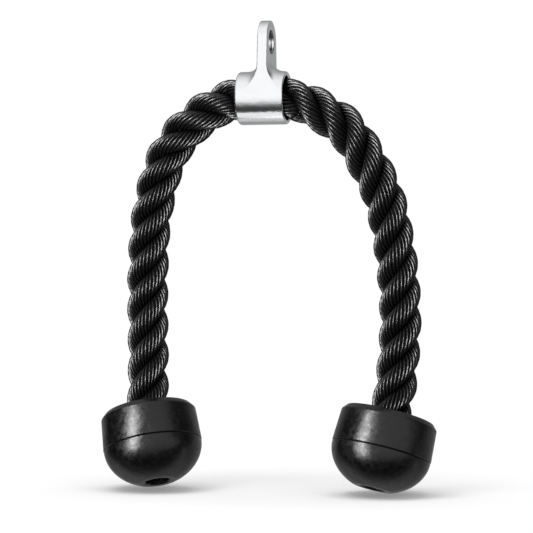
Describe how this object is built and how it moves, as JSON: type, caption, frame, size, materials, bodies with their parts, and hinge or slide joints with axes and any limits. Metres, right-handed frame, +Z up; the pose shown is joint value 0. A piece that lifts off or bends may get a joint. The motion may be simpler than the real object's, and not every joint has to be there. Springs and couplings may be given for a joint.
{
  "type": "triceps rope attachment",
  "caption": "Laid rope through a cast metal eye sleeve, hanging in an arch, with a domed rubber cap held on each end by a ring, a washer and a screw.",
  "frame": {"origin": "centre of the hole in the eye, where the machine's snap hook holds the part", "axes": "+Z up, from the caps to the eye; +X along the sleeve's bore, to the side of the lower cap; the front looks along -Y"},
  "size_m": [0.2498, 0.0769, 0.3434],
  "materials": {
    "satin_chrome": "satin chrome over a casting",
    "black_rope": "laid synthetic yarn",
    "black_rubber": "moulded, satin",
    "zinc_steel": "zinc plated"
  },
  "bodies": {
    "fitting": {"eye_sleeve": "satin_chrome"},
    "rope": {"rope_core": "black_rope", "rope_bend_left": "black_rope", "rope_bend_right": "black_rope"},
    "left_end": {"rope_leg_left": "black_rope", "cap_left": "black_rubber", "retaining_ring_left": "zinc_steel", "washer_left": "zinc_steel", "end_screw_left": "zinc_steel"},
    "right_end": {"rope_leg_right": "black_rope", "cap_right": "black_rubber", "retaining_ring_right": "zinc_steel", "washer_right": "zinc_steel", "end_screw_right": "zinc_steel"}
  },
  "joints": [
    {"name": "rope_swing", "type": "hinge", "parent": "fitting", "child": "rope", "pos_m": [-0.0022, 0, -0.0423], "axis": [1, 0, 0], "continuous": true},
    {"name": "left_leg_swing", "type": "hinge", "parent": "rope", "child": "left_end", "pos_m": [-0.0636, 0.0038, -0.0645], "axis": [0, 1, 0], "range_deg": [-10, 45], "stiffness_Nm_per_rad": 0.9, "springref_deg": 3.84, "deforming": ["rope_bend_left"]},
    {"name": "right_leg_swing", "type": "hinge", "parent": "rope", "child": "right_end", "pos_m": [0.064, 0.0041, -0.0713], "axis": [0, -1, 0], "range_deg": [-10, 45], "stiffness_Nm_per_rad": 0.9, "springref_deg": 3.72, "deforming": ["rope_bend_right"]}
  ]
}
